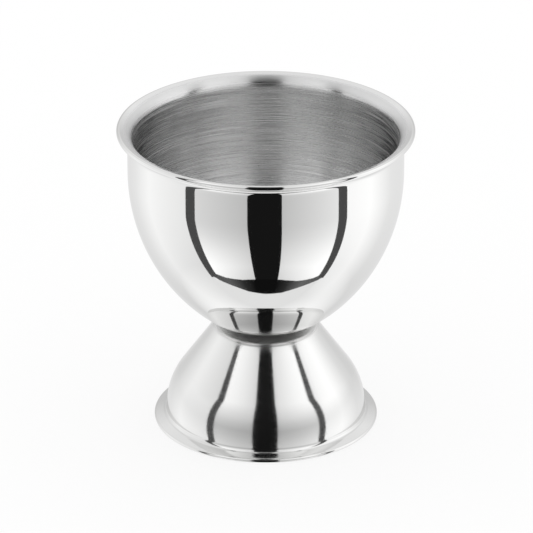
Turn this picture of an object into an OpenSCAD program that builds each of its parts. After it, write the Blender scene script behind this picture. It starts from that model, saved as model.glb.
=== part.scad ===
// Footed egg cup of stainless steel: a deep-drawn bowl and a bell-shaped foot, both pressed
// from sheet, joined crown to crown by one resistance spot weld.
// Millimetres. The origin is on the table under the centre of the foot, and +Z is up.
// Each pressing is a chain of tangent arcs and straight stretches, one sheet thick, turned about Z.
// Its free edge is polished to a full round.

/* [Sheet] */
// Thickness of the sheet of the bowl
bowl_t = 0.9; // [0.8:0.05:1.1]
// Thickness of the sheet of the foot
foot_t = 0.7; // [0.65:0.05:0.9]

/* [Bowl] */
// Outside diameter of the bowl at its upright wall
body_d = 46.4; // [38:0.1:54]
// Height of the upright wall between the flare and the belly
wall_h = 5.45; // [2:0.05:12]
// Outside radius of the belly, the long curve of the wall
belly_r = 32.2; // [27:0.1:38]
// Outside radius of the round bottom
base_r = 12.2; // [10:0.1:15]
// Diameter of the flat at the bottom of the bowl, where it is welded
seat_d = 6; // [5.2:0.1:8]

/* [Lip] */
// Radius of the hollow under the flared lip
flare_r = 1.5; // [1:0.05:2.5]
// Angle that the flare turns outwards from the upright wall, in degrees
flare_turn = 70; // [60:1:80]
// Length of the straight stretch of the lip, between the flare and the rounded edge
lip_w = 0.55; // [0.1:0.05:1.2]

/* [Foot] */
// Height of the foot, from the table to the weld
foot_h = 17.2; // [15:0.1:22]
// Diameter across the rim of the foot
foot_d = 38.2; // [33:0.1:45]
// Width of the brim, from the bell at its widest to the rim
brim_w = 2.1; // [1.8:0.05:3]
// Slope of the brim, down towards the rim, in degrees
brim_lean = 15; // [8:1:22]
// Depth trued off under the rim, so that the cup stands on a flat ring
rim_trim = 0.05; // [0.02:0.01:0.08]
// Radius of the heel, the hollow curve from the brim up into the bell
heel_r = 0.8; // [0.6:0.05:1]
// Outside radius of the bell, the full curve above the heel
bell_r = 12; // [10:0.1:14]
// Height at which the bell would be widest
bell_z = 1.8; // [1.4:0.05:2.4]
// Outside radius of the shoulder, between the straight flank and the crown
shoulder_r = 1.2; // [1:0.05:1.8]
// Diameter of the flat crown under the bowl
crown_d = 16.3; // [14:0.1:17]

/* [Weld] */
// Diameter of the weld nugget where the two sheets meet
nugget_d = 4.2; // [3:0.1:5]
// Depth of the nugget in each sheet
nugget_bite = 0.45; // [0.35:0.05:0.5]
// Diameter of the mark of the electrode on each free side of the weld
mark_d = 5; // [4:0.1:5]
// Depth of that mark
mark_depth = 0.08; // [0.04:0.01:0.12]

/* [Hidden] */
$fn = 180;

steel_polished = [0.80, 0.80, 0.79];
steel_satin = [0.74, 0.74, 0.73];
steel_fused = [0.55, 0.54, 0.52];

// How far a cut or a seam runs past the sheet on either side
cut_over = foot_t / 5;
// A tie's ends and its half width, as shares of its seam
tie_end_share = 0.18;
tie_slim_share = 0.05;

// Bowl, from the weld up: the centre of each curve, and the angles of its ends
body_r = body_d / 2;
seat_r = seat_d / 2;
seat_z = foot_h;
base_c = [seat_r, seat_z + base_r];
belly_turn = acos((seat_r - body_r + belly_r) / (belly_r - base_r));
belly_c = [body_r - belly_r, base_c.y + (belly_r - base_r) * sin(belly_turn)];
flare_c = [body_r + flare_r, belly_c.y + wall_h];
flare_end = 180 - flare_turn;
lip_way = [sin(flare_turn), cos(flare_turn)];
lip_edge_r = bowl_t / 2;
lip_edge_c = polar(flare_c, flare_r + lip_edge_r, flare_end) + lip_w * lip_way;

// Foot, from the table up, in the same way
rim_edge_r = foot_t / 2;
rim_edge_c = [foot_d / 2 - rim_edge_r, rim_edge_r - rim_trim];
brim_end = 90 - brim_lean;
bell_c = [foot_d / 2 - brim_w - bell_r, bell_z];
// The heel touches the bell's circle and the line of the brim
brim_out = [cos(brim_end), sin(brim_end)];
heel_off = (rim_edge_c - bell_c) * brim_out + rim_edge_r + heel_r;
heel_run = sqrt(pow(bell_r + heel_r, 2) - pow(heel_off, 2));
heel_c = bell_c + heel_off * brim_out + heel_run * [brim_out.y, -brim_out.x];
heel_lean = atan2(heel_c.y - bell_c.y, heel_c.x - bell_c.x);
crown_r = crown_d / 2;
shoulder_c = [crown_r, seat_z - shoulder_r];
neck_way = shoulder_c - bell_c;
flank_lean = atan2(neck_way.y, neck_way.x) - acos((bell_r - shoulder_r) / norm(neck_way));

// Weld: each half of the nugget is a cap of a sphere
nugget_r = nugget_d / 2;
nugget_sphere_r = (pow(nugget_r, 2) + pow(nugget_bite, 2)) / (2 * nugget_bite);

// Point at a distance and an angle from a centre
function polar(centre, r, angle) = centre + r * [cos(angle), sin(angle)];

// Seam where two stretches of sheet meet: a line square across the sheet, and a little past both sides
function seam(centre, inner_r, outer_r, angle) =
    [polar(centre, inner_r - cut_over, angle), polar(centre, outer_r + cut_over, angle)];
function turned(line) = [line[1], line[0]];
function along(line, share) = line[0] + share * (line[1] - line[0]);

// Joins two stretches at their seam: a narrow diamond inside the sheet, along the seam
module tie(line) {
    way = line[1] - line[0];
    side = tie_slim_share * [way.y, -way.x];
    middle = along(line, 1 / 2);
    polygon([along(line, tie_end_share), middle + side, along(line, 1 - tie_end_share), middle - side]);
}

// Curved stretch of sheet between two seams, which run outwards from its own centre
module bend(centre, inner_r, outer_r, seam_a, seam_b) {
    out_way = seam_a[1] + seam_b[1] - 2 * centre;
    tip = centre + 2 * outer_r * out_way / norm(out_way);
    intersection() {
        translate(centre)
            difference() {
                circle(r = outer_r);
                circle(r = inner_r);
            }
        polygon([seam_a[0], seam_a[1], tip, seam_b[1], seam_b[0]]);
    }
}

// Straight stretch of sheet between two seams; a side of it touches a curve at each end
module straight(from_c, from_r, to_c, to_r, angle, t, seam_a, seam_b) {
    past = t * [sin(angle), -cos(angle)];
    intersection() {
        polygon([
            polar(from_c, from_r, angle) + past,
            polar(to_c, to_r, angle) - past,
            polar(to_c, to_r - t, angle) - past,
            polar(from_c, from_r - t, angle) + past,
        ]);
        polygon([seam_a[0], seam_a[1], seam_b[1], seam_b[0]]);
    }
}

// Full round on a free edge: a disc beyond its seam, on the seam's right
module round_edge(centre, r, line) {
    way = line[1] - line[0];
    over = [way.y, -way.x];
    intersection() {
        translate(centre)
            circle(r = r);
        polygon([line[0], line[1], line[1] + over, line[0] + over]);
    }
}

// Stretch with level and upright sides, between two of its corners
module block(low, high) {
    polygon([low, [high.x, low.y], high, [low.x, high.y]]);
}

// Half section of the bowl
module bowl_section() {
    edge_seam = seam(lip_edge_c, -lip_edge_r, lip_edge_r, flare_end);
    lip_seam = seam(flare_c, flare_r, flare_r + bowl_t, flare_end);
    wall_seam = seam(flare_c, flare_r, flare_r + bowl_t, 180);
    belly_seam = seam(belly_c, belly_r - bowl_t, belly_r, 0);
    base_seam = seam(belly_c, belly_r - bowl_t, belly_r, -belly_turn);
    floor_seam = seam(base_c, base_r - bowl_t, base_r, -90);
    round_edge(lip_edge_c, lip_edge_r, edge_seam);
    straight(lip_edge_c, lip_edge_r, flare_c, flare_r + bowl_t, flare_end, bowl_t, edge_seam, lip_seam);
    bend(flare_c, flare_r, flare_r + bowl_t, wall_seam, lip_seam);
    block([body_r - bowl_t, belly_c.y], [body_r, flare_c.y]);
    bend(belly_c, belly_r - bowl_t, belly_r, base_seam, belly_seam);
    bend(base_c, base_r - bowl_t, base_r, floor_seam, base_seam);
    block([0, seat_z], [seat_r, seat_z + bowl_t]);
    for (line = [edge_seam, lip_seam, wall_seam, belly_seam, base_seam, floor_seam])
        tie(line);
}

// Half section of the foot
module foot_section() {
    crown_seam = seam(shoulder_c, shoulder_r - foot_t, shoulder_r, 90);
    shoulder_seam = seam(shoulder_c, shoulder_r - foot_t, shoulder_r, flank_lean);
    bell_seam = seam(bell_c, bell_r - foot_t, bell_r, flank_lean);
    heel_seam = seam(bell_c, bell_r - foot_t, bell_r, heel_lean);
    brim_seam = seam(heel_c, -heel_r - foot_t, -heel_r, brim_end);
    edge_seam = seam(rim_edge_c, -rim_edge_r, rim_edge_r, brim_end);
    block([0, seat_z - foot_t], [crown_r, seat_z]);
    bend(shoulder_c, shoulder_r - foot_t, shoulder_r, shoulder_seam, crown_seam);
    straight(bell_c, bell_r, shoulder_c, shoulder_r, flank_lean, foot_t, bell_seam, shoulder_seam);
    bend(bell_c, bell_r - foot_t, bell_r, heel_seam, bell_seam);
    bend(heel_c, heel_r, heel_r + foot_t, turned(heel_seam), turned(brim_seam));
    intersection() {
        union() {
            straight(rim_edge_c, rim_edge_r, heel_c, -heel_r, brim_end, foot_t, edge_seam, brim_seam);
            round_edge(rim_edge_c, rim_edge_r, edge_seam);
            tie(edge_seam);
        }
        block([heel_c.x - heel_r - foot_t, 0], [foot_d / 2 + foot_t, heel_c.y]);
    }
    for (line = [crown_seam, shoulder_seam, bell_seam, heel_seam, brim_seam])
        tie(line);
}

// Weld nugget: a lens, half in each sheet
module nugget_lens() {
    rotate_extrude()
        intersection() {
            translate([0, seat_z + nugget_bite - nugget_sphere_r])
                circle(r = nugget_sphere_r);
            translate([0, seat_z - nugget_bite + nugget_sphere_r])
                circle(r = nugget_sphere_r);
            block([0, seat_z - foot_t], [nugget_sphere_r, seat_z + bowl_t]);
        }
}

// Shallow mark of the electrode, and the space on its free side
module electrode_mark(bottom_z, top_z) {
    translate([0, 0, bottom_z])
        cylinder(d = mark_d, h = top_z - bottom_z);
}

module bowl() {
    color(steel_polished)
        difference() {
            rotate_extrude()
                bowl_section();
            nugget_lens();
            electrode_mark(seat_z + bowl_t - mark_depth, seat_z + bowl_t + cut_over);
        }
}

module foot() {
    color(steel_satin)
        difference() {
            rotate_extrude()
                foot_section();
            nugget_lens();
            electrode_mark(seat_z - foot_t - cut_over, seat_z - foot_t + mark_depth);
        }
}

module weld_nugget() {
    color(steel_fused)
        nugget_lens();
}

bowl();
foot();
weld_nugget();
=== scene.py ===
import math

import bpy
import numpy as np
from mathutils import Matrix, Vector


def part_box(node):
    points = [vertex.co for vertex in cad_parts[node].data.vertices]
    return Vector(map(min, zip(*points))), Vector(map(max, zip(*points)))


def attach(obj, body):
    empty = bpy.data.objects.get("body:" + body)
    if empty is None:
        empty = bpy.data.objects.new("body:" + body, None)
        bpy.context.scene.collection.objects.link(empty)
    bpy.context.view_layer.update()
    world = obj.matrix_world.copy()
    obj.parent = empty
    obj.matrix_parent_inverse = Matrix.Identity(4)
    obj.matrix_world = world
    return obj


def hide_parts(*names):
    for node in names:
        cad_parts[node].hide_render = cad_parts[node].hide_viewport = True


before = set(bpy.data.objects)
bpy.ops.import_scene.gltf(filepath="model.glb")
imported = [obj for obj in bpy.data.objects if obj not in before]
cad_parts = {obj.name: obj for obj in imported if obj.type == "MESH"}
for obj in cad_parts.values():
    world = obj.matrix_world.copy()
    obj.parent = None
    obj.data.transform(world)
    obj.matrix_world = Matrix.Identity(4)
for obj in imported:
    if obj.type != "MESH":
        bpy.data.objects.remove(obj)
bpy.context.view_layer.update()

# Bowl: one deep-drawn pressing of 0.9 mm stainless steel with a flared lip and a round edge. It is polished
# like a mirror outside and over the lip, and left satin inside, with fine marks that run round it.
# Its round bottom ends in a small flat, which is spot-welded to the crown of the foot.
MM = 0.001
BOWL_SHEET = 0.9 * MM
BODY_RADIUS = 23.2 * MM
BELLY_RADIUS = 32.2 * MM
BASE_RADIUS = 12.2 * MM
SEAT_RADIUS = 3.0 * MM
FLARE_RADIUS = 1.5 * MM
FLARE_END = 110.0
LIP_WIDTH = 0.55 * MM
MARK_RADIUS = 2.5 * MM
MARK_DEPTH = 0.08 * MM
MARK_ROUND = 0.25 * MM
BOWL_SIDES = 360
SAME_POINT = 1e-9


def polar(centre, radius, angle):
    """A point: the centre plus the radius times (cosine, sine) of the angle in degrees."""
    return np.array((centre[0] + radius * math.cos(math.radians(angle)),
                     centre[1] + radius * math.sin(math.radians(angle))))


def arc(centre, radius, start, end, count):
    """Points of an arc: the centre plus the radius times (cosine, sine) of evenly spaced angles."""
    angle = np.radians(np.linspace(start, end, count))
    return np.column_stack((centre[0] + radius * np.cos(angle), centre[1] + radius * np.sin(angle)))


def line(start, end, count):
    """Points of a straight stretch: its start plus even shares of the way to its end."""
    share = np.linspace(0.0, 1.0, count)[:, None]
    return np.array(start) + share * (np.array(end) - np.array(start))


def steps(points):
    """Distances between the neighbouring points of an outline: the root of the sum of squares."""
    return np.hypot(*(points[1:] - points[:-1]).T)


def chain(*stretches):
    """One outline out of several stretches, without the points that two neighbours share."""
    points = np.vstack(stretches)
    return points[np.concatenate(([True], steps(points) > SAME_POINT))]


def length(points):
    """Length of an outline: the sum of the distances between its neighbouring points."""
    return float(steps(points).sum())


def revolve(name, profile, sides):
    """Surface of revolution: each (radius, height) of the profile goes to (radius cos a, radius sin a,
    height) at every turn a. Points on the axis become one pole, and the rest is a grid of quads.
    The run of a point is the way to it along the profile."""
    off_axis = profile[:, 0] > SAME_POINT
    rings = profile[off_axis]
    turn = 2 * np.pi * np.arange(sides) / sides
    grid = np.empty((len(rings), sides, 3))
    grid[..., 0] = rings[:, :1] * np.cos(turn)
    grid[..., 1] = rings[:, :1] * np.sin(turn)
    grid[..., 2] = rings[:, 1:]
    index = np.arange(len(rings) * sides).reshape(len(rings), sides)
    beside = np.roll(index, -1, axis=1)
    quads = np.stack((index[:-1], beside[:-1], beside[1:], index[1:]), axis=-1).reshape(-1, 4)
    points = [grid.reshape(-1, 3)]
    faces = quads.tolist()
    for pole, ring, flip in ((0, 0, True), (len(profile) - 1, len(rings) - 1, False)):
        if not off_axis[pole]:
            tip = len(rings) * sides + len(points) - 1
            points.append([[0.0, 0.0, profile[pole, 1]]])
            fan = np.stack((index[ring], beside[ring], np.full(sides, tip)), axis=-1)
            faces += (fan[:, ::-1] if flip else fan).tolist()
    mesh = bpy.data.meshes.new(name)
    mesh.from_pydata(np.vstack(points), [], faces)
    mesh.shade_smooth()
    run = np.concatenate(([0.0], np.cumsum(steps(profile))))
    poles = [run[pole] for pole in (0, len(profile) - 1) if not off_axis[pole]]
    mesh.attributes.new("run", "FLOAT", "POINT").data.foreach_set(
        "value", np.concatenate((np.repeat(run[off_axis], sides), poles)).astype(np.float32))
    piece = bpy.data.objects.new(name, mesh)
    bpy.context.scene.collection.objects.link(piece)
    return piece


seat_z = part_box("foot")[1].z
lip_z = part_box("bowl")[1].z
floor_z = seat_z + BOWL_SHEET
lip_edge = BOWL_SHEET / 2
base_centre = (SEAT_RADIUS, seat_z + BASE_RADIUS)
belly_turn = math.degrees(math.acos((SEAT_RADIUS - BODY_RADIUS + BELLY_RADIUS)
                                    / (BELLY_RADIUS - BASE_RADIUS)))
belly_centre = (BODY_RADIUS - BELLY_RADIUS,
                base_centre[1] + (BELLY_RADIUS - BASE_RADIUS) * math.sin(math.radians(belly_turn)))
lip_over = LIP_WIDTH * np.array((math.sin(math.radians(FLARE_END)), -math.cos(math.radians(FLARE_END))))
edge_from_flare = polar((0.0, 0.0), FLARE_RADIUS + lip_edge, FLARE_END) + lip_over
flare_centre = np.array((BODY_RADIUS + FLARE_RADIUS, lip_z - lip_edge - edge_from_flare[1]))
edge_centre = flare_centre + edge_from_flare

# The last number of each stretch is its count of points
bowl_outer = chain(
    line((0.0, seat_z), (SEAT_RADIUS, seat_z), 6),
    arc(base_centre, BASE_RADIUS, -90, -belly_turn, 24),
    arc(belly_centre, BELLY_RADIUS, -belly_turn, 0, 60),
    line((BODY_RADIUS, belly_centre[1]), (BODY_RADIUS, flare_centre[1]), 10),
    arc(flare_centre, FLARE_RADIUS, 180, FLARE_END, 18),
    line(polar(flare_centre, FLARE_RADIUS, FLARE_END), polar(edge_centre, lip_edge, FLARE_END - 180), 4),
    arc(edge_centre, lip_edge, FLARE_END - 180, FLARE_END, 28),
)
bowl_inner = chain(
    line(polar(edge_centre, lip_edge, FLARE_END),
         polar(flare_centre, FLARE_RADIUS + BOWL_SHEET, FLARE_END), 4),
    arc(flare_centre, FLARE_RADIUS + BOWL_SHEET, FLARE_END, 180, 26),
    line((BODY_RADIUS - BOWL_SHEET, flare_centre[1]), (BODY_RADIUS - BOWL_SHEET, belly_centre[1]), 10),
    arc(belly_centre, BELLY_RADIUS - BOWL_SHEET, 0, -belly_turn, 60),
    arc(base_centre, BASE_RADIUS - BOWL_SHEET, -belly_turn, -90, 20),
    line((SEAT_RADIUS, floor_z), (MARK_RADIUS, floor_z), 3),
    arc((MARK_RADIUS, floor_z - MARK_DEPTH), MARK_DEPTH, 90, 180, 5),
    line((MARK_RADIUS - MARK_DEPTH - MARK_ROUND, floor_z - MARK_DEPTH), (0.0, floor_z - MARK_DEPTH), 8),
)
bowl = revolve("bowl_shell", chain(bowl_outer, bowl_inner), BOWL_SIDES)
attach(bowl, "root")
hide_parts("bowl")

# Finishes of the steel: the spans that noise and the shares of the points run through
NOISE_SPAN = (0.3, 0.7)
WHOLE_SPAN = (0.0, 1.0)
NOISE_ROUGHNESS = 0.6
FACE_SLACK = 0.001 * MM


def steel_nodes(name):
    """A metal with nothing else set; gives its material, its nodes and its shader."""
    material = bpy.data.materials.new(name)
    material.use_nodes = True
    tree = material.node_tree
    shader = tree.nodes["Principled BSDF"]
    shader.inputs["Metallic"].default_value = 1.0
    return material, tree, shader


def feed(tree, sockets, values):
    """Each socket takes its value: a link from another socket, or a constant."""
    for socket, value in zip(sockets, values):
        if isinstance(value, bpy.types.NodeSocket):
            tree.links.new(value, socket)
        else:
            socket.default_value = value


def number(tree, operation, *values):
    """A Math node: the operation on two numbers or sockets."""
    node = tree.nodes.new("ShaderNodeMath")
    node.operation = operation
    feed(tree, node.inputs, values)
    return node.outputs[0]


def vector(tree, operation, *values):
    """A Vector Math node: the operation on two vectors, or on a vector and a scale."""
    node = tree.nodes.new("ShaderNodeVectorMath")
    node.operation = operation
    feed(tree, (node.inputs[0], node.inputs["Scale"] if operation == "SCALE" else node.inputs[1]), values)
    return node.outputs[0]


def range_of(tree, value, source, target):
    """A Map Range node: the value's share of the way through the source span, laid out over the target
    span and held at its ends."""
    node = tree.nodes.new("ShaderNodeMapRange")
    ends = [node.inputs[name] for name in ("Value", "From Min", "From Max", "To Min", "To Max")]
    feed(tree, ends, (value, *source, *target))
    return node.outputs[0]


def attribute(tree, name):
    """An Attribute node: the value that the points of the piece carry under this name."""
    node = tree.nodes.new("ShaderNodeAttribute")
    node.attribute_name = name
    return node.outputs["Fac"]


def turned_marks(tree, across, around, detail, seed):
    """Noise stretched round the axis: it is read at (cosine, sine) of the turn times the marks to a
    radian, around, and at the run times the marks to a metre, across, so it has no seam."""
    place = tree.nodes.new("ShaderNodeTexCoord").outputs["Object"]
    unit = vector(tree, "NORMALIZE", vector(tree, "MULTIPLY", place, (1.0, 1.0, 0.0)))
    rise = tree.nodes.new("ShaderNodeCombineXYZ")
    rise.inputs[0].default_value = seed
    tree.links.new(number(tree, "MULTIPLY", attribute(tree, "run"), across), rise.inputs[2])
    spot = vector(tree, "ADD", vector(tree, "SCALE", unit, around), rise.outputs[0])
    noise = tree.nodes.new("ShaderNodeTexNoise")
    noise.inputs["Scale"].default_value = 1.0
    noise.inputs["Detail"].default_value = detail
    noise.inputs["Roughness"].default_value = NOISE_ROUGHNESS
    tree.links.new(spot, noise.inputs["Vector"])
    return noise.outputs["Fac"]


def bump(tree, shader, height, distance):
    """A Bump node of full strength: the height times the distance, in metres."""
    node = tree.nodes.new("ShaderNodeBump")
    node.inputs["Distance"].default_value = distance
    tree.links.new(height, node.inputs["Height"])
    tree.links.new(node.outputs[0], shader.inputs["Normal"])


def runs_of(piece):
    """The run of each point of a piece."""
    run = np.empty(len(piece.data.vertices), np.float32)
    piece.data.attributes["run"].data.foreach_get("value", run)
    return run


def point_share(piece, name, low, high):
    """An attribute of each point: 0 up to one place along the sheet, 1 from another, smooth between."""
    share = np.clip((runs_of(piece) - low) / (high - low), 0.0, 1.0)
    piece.data.attributes.new(name, "FLOAT", "POINT").data.foreach_set(
        "value", (share * share * (3.0 - 2.0 * share)).astype(np.float32))


def paint(piece, low, high, slot):
    """Faces whose points all lie between two places along the sheet take the material of a slot."""
    corners = np.empty(len(piece.data.loops), np.int32)
    piece.data.loops.foreach_get("vertex_index", corners)
    starts = np.empty(len(piece.data.polygons), np.int32)
    piece.data.polygons.foreach_get("loop_start", starts)
    run = runs_of(piece)[corners]
    inside = (np.minimum.reduceat(run, starts) > low - FACE_SLACK) & (
        np.maximum.reduceat(run, starts) < high + FACE_SLACK)
    piece.data.polygons.foreach_set("material_index", np.where(inside, slot, 0).astype(np.int32))


POLISH_COLOUR = (0.80, 0.80, 0.795, 1.0)
POLISH_ROUGHNESS = (0.02, 0.05)
POLISH_RELIEF = 0.00015 * MM


def polished_steel():
    """Mirror polish: hardly any roughness, with faint turning marks that the mop left."""
    material, tree, shader = steel_nodes("polished_steel")
    shader.inputs["Base Color"].default_value = POLISH_COLOUR
    marks = turned_marks(tree, across=9000.0, around=3.0, detail=2.0, seed=0.0)
    tree.links.new(range_of(tree, marks, NOISE_SPAN, POLISH_ROUGHNESS), shader.inputs["Roughness"])
    bump(tree, shader, marks, POLISH_RELIEF)
    return material


# Each pair of grey or roughness goes from one end to the other of the satin share, or of a span of marks
SATIN_GREY = (0.8, 0.665)
STREAK_GREY = (-0.07, 0.07)
GREY_SPAN = (0.38, 0.62)
STREAK_ROUGHNESS = (0.03, 0.36)
ROUGH_SPAN = (0.4, 0.6)
SCRATCH_GREY = (0.0, 0.2)
SCRATCH_SPAN = (0.7, 0.77)
SHINE_ROUGHNESS = 0.03
DULL_ROUGHNESS = (0.3, 0.0)
FINE_SHARE = 0.4
FINE_RELIEF = 0.5
SATIN_RELIEF = 0.03 * MM
QUARTER_TURN = 0.25


def satin_steel():
    """Turned satin: rough across the marks and smooth along them, with fine light and dark streaks and
    a few bright scratches. The roll of the lip is dulled first, by the dull share, and the marks fade in
    after it, by the satin share."""
    material, tree, shader = steel_nodes("satin_steel")
    shader.inputs["Anisotropic"].default_value = 1.0
    shader.inputs["Anisotropic Rotation"].default_value = QUARTER_TURN
    tangent = tree.nodes.new("ShaderNodeTangent")
    tangent.direction_type = "RADIAL"
    tangent.axis = "Z"
    tree.links.new(tangent.outputs[0], shader.inputs["Tangent"])
    satin = attribute(tree, "satin")
    fine = turned_marks(tree, across=11000.0, around=2.4, detail=2.0, seed=4.0)
    middle = turned_marks(tree, across=5200.0, around=1.6, detail=2.0, seed=21.0)
    sparse = turned_marks(tree, across=5200.0, around=1.1, detail=0.0, seed=43.0)
    marks = number(tree, "ADD", number(tree, "MULTIPLY", fine, FINE_SHARE),
                   number(tree, "MULTIPLY", middle, 1.0 - FINE_SHARE))
    dulled = number(tree, "MULTIPLY", attribute(tree, "dull"),
                    range_of(tree, satin, WHOLE_SPAN, DULL_ROUGHNESS))
    streaked = number(tree, "MULTIPLY", range_of(tree, marks, ROUGH_SPAN, STREAK_ROUGHNESS), satin)
    roughness = number(tree, "ADD", number(tree, "ADD", SHINE_ROUGHNESS, dulled), streaked)
    tree.links.new(roughness, shader.inputs["Roughness"])
    streaks = number(tree, "ADD", range_of(tree, marks, GREY_SPAN, STREAK_GREY),
                     range_of(tree, sparse, SCRATCH_SPAN, SCRATCH_GREY))
    grey = number(tree, "ADD", number(tree, "MULTIPLY", streaks, satin),
                  range_of(tree, satin, WHOLE_SPAN, SATIN_GREY))
    tint = tree.nodes.new("ShaderNodeCombineColor")
    feed(tree, tint.inputs, (grey, grey, grey))
    tree.links.new(tint.outputs[0], shader.inputs["Base Color"])
    ridges = number(tree, "ADD", number(tree, "MULTIPLY", fine, FINE_RELIEF), middle)
    bump(tree, shader, number(tree, "MULTIPLY", ridges, satin), SATIN_RELIEF)
    return material


bowl.data.materials.append(polished_steel())
bowl.data.materials.append(satin_steel())
SATIN_FROM = length(bowl_outer) + 1.6 * MM
SATIN_FADE = 1.5 * MM
DULL_LEAD = 1.5 * MM
point_share(bowl, "dull", SATIN_FROM - DULL_LEAD, SATIN_FROM - DULL_LEAD / 3)
point_share(bowl, "satin", SATIN_FROM, SATIN_FROM + SATIN_FADE)
paint(bowl, SATIN_FROM - DULL_LEAD, math.inf, 1)

# Foot: the second pressing, a hollow bell of 0.7 mm stainless steel that ends in a sloping brim. It is
# polished outside with a fine haze, and left as drawn underneath, dull with faint upright draw marks.
# The cup stands on the flat ring that is trued under the rim.
FOOT_SHEET = 0.7 * MM
FOOT_RADIUS = 19.1 * MM
RIM_TRIM = 0.05 * MM
BRIM_WIDTH = 2.1 * MM
BRIM_END = 75.0
HEEL_RADIUS = 0.8 * MM
BELL_RADIUS = 12.0 * MM
BELL_Z = 1.8 * MM
SHOULDER_RADIUS = 1.2 * MM
CROWN_RADIUS = 8.15 * MM
FOOT_SIDES = 360

rim_edge = FOOT_SHEET / 2
rim_centre = np.array((FOOT_RADIUS - rim_edge, rim_edge - RIM_TRIM))
bell_centre = np.array((FOOT_RADIUS - BRIM_WIDTH - BELL_RADIUS, BELL_Z))
brim_out = polar((0.0, 0.0), 1.0, BRIM_END)
heel_off = float((rim_centre - bell_centre) @ brim_out) + rim_edge + HEEL_RADIUS
heel_run = math.sqrt((BELL_RADIUS + HEEL_RADIUS) ** 2 - heel_off ** 2)
heel_centre = bell_centre + heel_off * brim_out + heel_run * np.array((brim_out[1], -brim_out[0]))
heel_lean = math.degrees(math.atan2(heel_centre[1] - bell_centre[1], heel_centre[0] - bell_centre[0]))
shoulder_centre = np.array((CROWN_RADIUS, seat_z - SHOULDER_RADIUS))
neck = shoulder_centre - bell_centre
flank_lean = math.degrees(math.atan2(neck[1], neck[0])
                          - math.acos((BELL_RADIUS - SHOULDER_RADIUS) / math.hypot(*neck)))
tread = math.degrees(math.asin(rim_centre[1] / rim_edge))
under_brim = polar(heel_centre, HEEL_RADIUS + FOOT_SHEET, BRIM_END + 180)
under_end = under_brim + under_brim[1] / brim_out[0] * np.array((brim_out[1], -brim_out[0]))
ceiling_z = seat_z - FOOT_SHEET

foot_inner = chain(
    line((0.0, ceiling_z + MARK_DEPTH), (MARK_RADIUS - MARK_DEPTH - MARK_ROUND, ceiling_z + MARK_DEPTH), 8),
    arc((MARK_RADIUS, ceiling_z + MARK_DEPTH), MARK_DEPTH, 180, 270, 5),
    line((MARK_RADIUS, ceiling_z), (CROWN_RADIUS, ceiling_z), 8),
    arc(shoulder_centre, SHOULDER_RADIUS - FOOT_SHEET, 90, flank_lean, 12),
    arc(bell_centre, BELL_RADIUS - FOOT_SHEET, flank_lean, heel_lean, 40),
    arc(heel_centre, HEEL_RADIUS + FOOT_SHEET, 180 + heel_lean, 180 + BRIM_END, 16),
    line(under_brim, under_end, 4),
)
foot_outer = chain(
    arc(rim_centre, rim_edge, -tread, BRIM_END, 20),
    line(polar(rim_centre, rim_edge, BRIM_END), polar(heel_centre, HEEL_RADIUS, BRIM_END + 180), 5),
    arc(heel_centre, HEEL_RADIUS, BRIM_END + 180, 180 + heel_lean, 20),
    arc(bell_centre, BELL_RADIUS, heel_lean, flank_lean, 40),
    line(polar(bell_centre, BELL_RADIUS, flank_lean), polar(shoulder_centre, SHOULDER_RADIUS, flank_lean), 8),
    arc(shoulder_centre, SHOULDER_RADIUS, flank_lean, 90, 18),
    line((CROWN_RADIUS, seat_z), (0.0, seat_z), 10),
)
foot_profile = chain(foot_inner, foot_outer)
foot = revolve("foot_bell", foot_profile, FOOT_SIDES)
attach(foot, "root")
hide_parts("foot")

HAZY_COLOUR = (0.78, 0.78, 0.775, 1.0)
HAZY_ROUGHNESS = (0.06, 0.12)
HAZY_GRAIN = (0.8, 2.4)
NECK_ROUGHNESS = 0.42
HAZY_RELIEF = 0.0015 * MM


def grain(tree, per_metre):
    """Even noise, read at the place on the piece times the grains to a metre."""
    noise = tree.nodes.new("ShaderNodeTexNoise")
    noise.inputs["Scale"].default_value = per_metre
    tree.links.new(tree.nodes.new("ShaderNodeTexCoord").outputs["Object"], noise.inputs["Vector"])
    return noise.outputs["Fac"]


def hazy_steel():
    """Polished with a haze: a little rougher than the bowl, with a fine grain. The mop doesn't reach into
    the neck, so there the haze share makes it duller and more grainy."""
    material, tree, shader = steel_nodes("hazy_steel")
    shader.inputs["Base Color"].default_value = HAZY_COLOUR
    haze = attribute(tree, "haze")
    marks = turned_marks(tree, across=6000.0, around=4.0, detail=3.0, seed=8.0)
    grains = number(tree, "MULTIPLY", grain(tree, 4500.0), range_of(tree, haze, WHOLE_SPAN, HAZY_GRAIN))
    dulled = number(tree, "MULTIPLY", number(tree, "POWER", haze, 2.0), NECK_ROUGHNESS)
    roughness = number(tree, "ADD", range_of(tree, marks, NOISE_SPAN, HAZY_ROUGHNESS), dulled)
    tree.links.new(roughness, shader.inputs["Roughness"])
    bump(tree, shader, number(tree, "ADD", marks, grains), HAZY_RELIEF)
    return material


DRAWN_COLOUR = (0.6, 0.6, 0.59, 1.0)
DRAWN_ROUGHNESS = (0.32, 0.5)
DRAWN_RELIEF = 0.01 * MM


def drawn_steel():
    """As the die left it: dull, with faint marks that run up the sheet."""
    material, tree, shader = steel_nodes("drawn_steel")
    shader.inputs["Base Color"].default_value = DRAWN_COLOUR
    marks = turned_marks(tree, across=90.0, around=46.0, detail=4.0, seed=13.0)
    tree.links.new(range_of(tree, marks, NOISE_SPAN, DRAWN_ROUGHNESS), shader.inputs["Roughness"])
    bump(tree, shader, marks, DRAWN_RELIEF)
    return material


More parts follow.
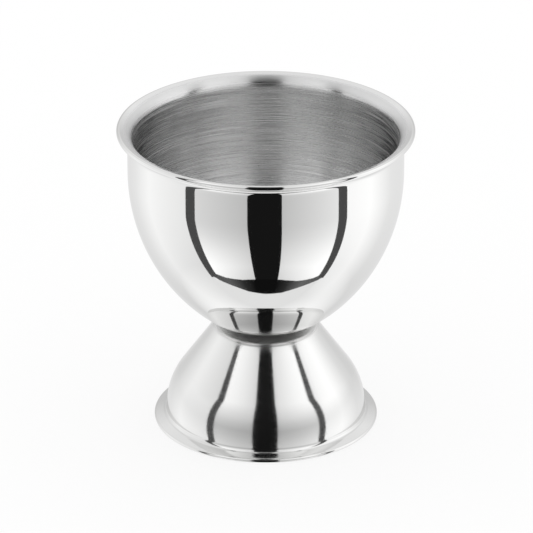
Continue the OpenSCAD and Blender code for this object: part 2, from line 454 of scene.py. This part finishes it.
foot.data.materials.append(hazy_steel())
foot.data.materials.append(drawn_steel())
paint(foot, 0.0, length(foot_inner), 1)
HAZE_FADE = 2.6 * MM
neck_run = length(foot_profile) - CROWN_RADIUS - SHOULDER_RADIUS * math.radians(90 - flank_lean)
point_share(foot, "haze", neck_run - HAZE_FADE, neck_run + HAZE_FADE)

# Weld nugget: the steel that one resistance spot weld melted where the two sheets meet. It is a lens,
# half in each sheet, sealed in between them and never seen.
FUSED_COLOUR = (0.55, 0.54, 0.52, 1.0)
FUSED_ROUGHNESS = (0.4, 0.65)
FUSED_RELIEF = 0.01 * MM


def fused_steel():
    """Steel that has melted and set: grey and dull, with a coarse grain."""
    material, tree, shader = steel_nodes("fused_steel")
    shader.inputs["Base Color"].default_value = FUSED_COLOUR
    grains = grain(tree, 3000.0)
    tree.links.new(range_of(tree, grains, NOISE_SPAN, FUSED_ROUGHNESS), shader.inputs["Roughness"])
    bump(tree, shader, grains, FUSED_RELIEF)
    return material


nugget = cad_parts["weld_nugget"]
nugget.data.materials.clear()
nugget.data.materials.append(fused_steel())

# Camera: it stands in front of the cup and looks down on it from about 25 degrees, through a long lens.
# It is aimed a little above the cup's middle, and a small shift puts the cup's axis where the picture has it.
FRAME_PIXELS = 533.0
LENS_PIXELS = 4563.0
AXIS_PIXELS = 0.69
SENSOR = 36.0
ELEVATION = math.radians(24.75)
DISTANCE = 773.0 * MM
AIM_Z = 27.64 * MM
camera_data = bpy.data.cameras.new("camera")
camera_data.sensor_width = SENSOR
camera_data.lens = LENS_PIXELS / FRAME_PIXELS * SENSOR
camera_data.shift_x = AXIS_PIXELS / FRAME_PIXELS
camera = bpy.data.objects.new("camera", camera_data)
bpy.context.scene.collection.objects.link(camera)
camera.location = (0.0, -DISTANCE * math.cos(ELEVATION), AIM_Z + DISTANCE * math.sin(ELEVATION))
camera.rotation_euler = (math.pi / 2 - ELEVATION, 0.0, 0.0)
bpy.context.scene.camera = camera
bpy.context.scene.view_settings.view_transform = "Standard"

# Studio: a white room and a white table of matt paper, evenly lit, with the soft shade of the cup on it. To
# the camera the table gives a share of its own white, so the shade is faint, and from below it is clear, so
# that the underside of the cup can be looked at. The steel doesn't mirror it.
WHITE = (1.0, 1.0, 1.0, 1.0)
WHITE_SHARE = 0.75
TABLE_HALF = 2.0
TABLE_GAP = 0.01 * MM
world = bpy.data.worlds.new("white_room")
bpy.context.scene.world = world
world.use_nodes = True
world.node_tree.nodes["Background"].inputs["Color"].default_value = WHITE

table_mesh = bpy.data.meshes.new("table")
table_mesh.from_pydata([(-TABLE_HALF, -TABLE_HALF, 0), (TABLE_HALF, -TABLE_HALF, 0),
                        (TABLE_HALF, TABLE_HALF, 0), (-TABLE_HALF, TABLE_HALF, 0)], [], [(0, 1, 2, 3)])
table = bpy.data.objects.new("table", table_mesh)
bpy.context.scene.collection.objects.link(table)
table.location.z = -TABLE_GAP
table.visible_glossy = False


def mixed(tree, share, first, second):
    """A Mix Shader node: the first shader, with a share of the second in its place."""
    node = tree.nodes.new("ShaderNodeMixShader")
    feed(tree, node.inputs, (share, first, second))
    return node.outputs[0]


def table_white():
    """Matt white that gives a share of plain white to the camera alone, and is clear from behind."""
    material = bpy.data.materials.new("table_white")
    material.use_nodes = True
    tree = material.node_tree
    tree.nodes.clear()
    matt = tree.nodes.new("ShaderNodeBsdfDiffuse")
    matt.inputs["Color"].default_value = WHITE
    plain = tree.nodes.new("ShaderNodeEmission")
    clear = tree.nodes.new("ShaderNodeBsdfTransparent")
    to_camera = tree.nodes.new("ShaderNodeLightPath").outputs["Is Camera Ray"]
    behind = tree.nodes.new("ShaderNodeNewGeometry").outputs["Backfacing"]
    top = mixed(tree, number(tree, "MULTIPLY", to_camera, WHITE_SHARE), matt.outputs[0], plain.outputs[0])
    both = mixed(tree, behind, top, clear.outputs[0])
    tree.links.new(both, tree.nodes.new("ShaderNodeOutputMaterial").inputs["Surface"])
    return material


table_mesh.materials.append(table_white())

# Reflectors: a mirror-polished cup is shaded by what it reflects. A white tent surrounds it, greyer in
# front and behind, and dark strips hang in the tent: they draw the cup's dark stripes. The camera doesn't
# see them, they throw no shadow and light nothing matt. Only the steel mirrors them.
TENT_RADIUS = 1.25
STRIP_RADIUS = 1.22
MIDDLE_GLOW = 0.009
SIDE_GLOW = 0.08


def card_glow():
    """A material that only glows, as strongly as the glow that its points carry."""
    material = bpy.data.materials.new("card")
    material.use_nodes = True
    tree = material.node_tree
    tree.nodes.clear()
    light = tree.nodes.new("ShaderNodeEmission")
    tree.links.new(attribute(tree, "glow"), light.inputs["Strength"])
    tree.links.new(light.outputs[0], tree.nodes.new("ShaderNodeOutputMaterial").inputs["Surface"])
    return material


card_paint = card_glow()


def around(azimuth, elevation, radius):
    """Points of a sphere round the cup: the azimuth counts from the camera's side, to the right."""
    azimuth, elevation = np.broadcast_arrays(np.radians(azimuth), np.radians(elevation))
    return radius * np.stack((np.cos(elevation) * np.sin(azimuth), -np.cos(elevation) * np.cos(azimuth),
                              np.sin(elevation)), axis=-1)


def card(name, rows, glow):
    """A card out of a grid of points, each with its own glow: the rows' points in order, joined by quads."""
    down, over = rows.shape[:2]
    index = np.arange(down * over).reshape(down, over)
    quads = np.stack((index[:-1, :-1], index[:-1, 1:], index[1:, 1:], index[1:, :-1]), axis=-1)
    mesh = bpy.data.meshes.new(name)
    mesh.from_pydata(rows.reshape(-1, 3), [], quads.reshape(-1, 4).tolist())
    mesh.attributes.new("glow", "FLOAT", "POINT").data.foreach_set(
        "value", np.broadcast_to(glow, (down, over)).astype(np.float32).ravel())
    mesh.materials.append(card_paint)
    piece = bpy.data.objects.new(name, mesh)
    bpy.context.scene.collection.objects.link(piece)
    piece.visible_camera = piece.visible_diffuse = piece.visible_shadow = False


def between(at, *stops):
    """Even change from stop to stop, each a place and its level, and the end levels beyond them."""
    places, levels = zip(*stops)
    return np.interp(at, places, levels)


# The tent's glow by direction, in degrees. In front it grows from the middle to both sides, and from level
# to steep. It is brightest at the sides and greyer behind, but not high up behind. Low down the ground takes
# over.
FRONT_EDGE = 65.5
LOW_FRONT_EDGE = 72.0
azimuth = np.linspace(-180.0, 180.0, 361)
elevation = np.linspace(-89.9, 89.9, 121)[:, None]
off_middle = np.abs(azimuth)
steep_left = between(azimuth, (-62, 0.1), (-15, 0)) * between(np.abs(elevation), (25, 0), (45, 1))
front = between(azimuth, (-62, 0.83), (-15, 0.60), (13, 0.62), (62, 0.94)) + steep_left
front = front * between(elevation, (-90, 0.9), (-65, 1.2), (-50, 1.42), (-40, 1.3), (-30, 1.12), (-20, 1.0),
                        (-10, 0.87), (0, 0.78), (10, 0.95), (20, 1.17), (30, 1.32), (40, 1.42), (50, 1.46),
                        (65, 1.2), (90, 0.8))
side = between(azimuth, (-180, 0.82), (-155, 0.86), (-138, 0.95), (-113, 1.16), (-70, 1.0), (70, 1.18),
               (97, 1.26), (127, 0.96), (155, 0.88), (180, 0.82))
side = side * between(elevation, (-90, 0.9), (-62, 0.92), (-48, 0.88), (-35, 0.95), (-20, 1.0), (0, 0.9),
                      (20, 0.95), (40, 0.83), (60, 0.8), (90, 0.78))
high_right = between(azimuth, (66, 0), (80, 1), (125, 1), (140, 0)) * between(elevation, (5, 0), (25, 0.13))
behind = between(off_middle, (135, 0), (155, 1)) * between(
    elevation, (-20, 0), (5, -0.15), (18, -0.15), (34, 0.3), (65, 0.35), (90, 0.1))
side = side * (1.0 + high_right + behind)
ground = between(off_middle, (70, 0.92), (110, 1.1), (150, 1.25))
ground_share = np.where(off_middle < LOW_FRONT_EDGE, elevation < between(off_middle, (45, -61), (62, -57)),
                        between(elevation, (-68, 1), (-48, 0)))
glow = np.where(off_middle < FRONT_EDGE, front, side) * (1.0 - ground_share) + ground * ground_share
card("tent", around(azimuth, elevation, TENT_RADIUS), glow)

# The strips, in degrees: a wide one in front, a narrow one on each side, and a bowed one that joins their
# lower ends. From EVEN_FROM up the wide one keeps its real breadth, though lines of azimuth draw together,
# and it has a round top, which stays open by the small excess of ROUND_SQUARE over 1.
EVEN_FROM = 45.0
ROUND_FROM = 64.0
ROUND_SQUARE = 1.001
MIDDLE_TOP = 74.0
MIDDLE_REACH = 70.0
LEFT_FROM = -69.5
LEFT_WIDTH = 9.0
RIGHT_FROM = 62.0
RIGHT_WIDTH = 8.5
BOW_END = 75.0
share = np.linspace(0.0, 1.0, 13)
rise = np.linspace(-60.0, MIDDLE_TOP, 135)[:, None]
breadth = np.where(rise > EVEN_FROM, np.cos(np.radians(EVEN_FROM)) / np.cos(np.radians(rise)), 1.0)
breadth = breadth * np.sqrt(ROUND_SQUARE - between(rise, (ROUND_FROM, 0), (MIDDLE_TOP, 1)) ** 2)
left_edge = between(rise, (-60, -13.3), (-20, -15.2), (45, -14.5)) * breadth
right_edge = between(rise, (-60, 15.3), (-20, 13.0), (45, 13.75)) * breadth
middle = np.clip(left_edge + (right_edge - left_edge) * share, -MIDDLE_REACH, MIDDLE_REACH)
card("strip_middle", around(middle, rise, STRIP_RADIUS), MIDDLE_GLOW)

side_rise = np.linspace(-56.0, 48.0, 53)[:, None]
lean = between(side_rise, (-56, 4.8), (-20, 0.0))
card("strip_left", around(LEFT_FROM + LEFT_WIDTH * share, side_rise, STRIP_RADIUS), SIDE_GLOW)
card("strip_right", around(RIGHT_FROM + RIGHT_WIDTH * share + lean, side_rise, STRIP_RADIUS), SIDE_GLOW)

bow = np.linspace(LEFT_FROM, BOW_END, 146)
bow_top = between(bow, (-69.5, -51), (-60, -54.5), (-50, -57.5), (-40, -59), (-30, -60), (15, -60),
                  (30, -60.5), (40, -60.5), (50, -59.5), (60, -57.5), (70, -54), (75, -52))
bow_bottom = between(bow, (-69.5, -54), (-60, -59.5), (-50, -63.5), (-40, -67), (-30, -70), (-15, -72),
                     (0, -73), (15, -72.5), (30, -71), (40, -68.5), (50, -65.5), (60, -62), (70, -58),
                     (75, -55))
bow_glow = between(bow, (-70, 0.08), (-50, 0.13), (-30, 0.03), (-15, 0.006), (15, 0.006), (30, 0.03),
                   (50, 0.15), (75, 0.1))
down = np.linspace(0.0, 1.0, 9)[:, None]
card("strip_bow", around(bow, bow_top + (bow_bottom - bow_top) * down, STRIP_RADIUS), bow_glow)
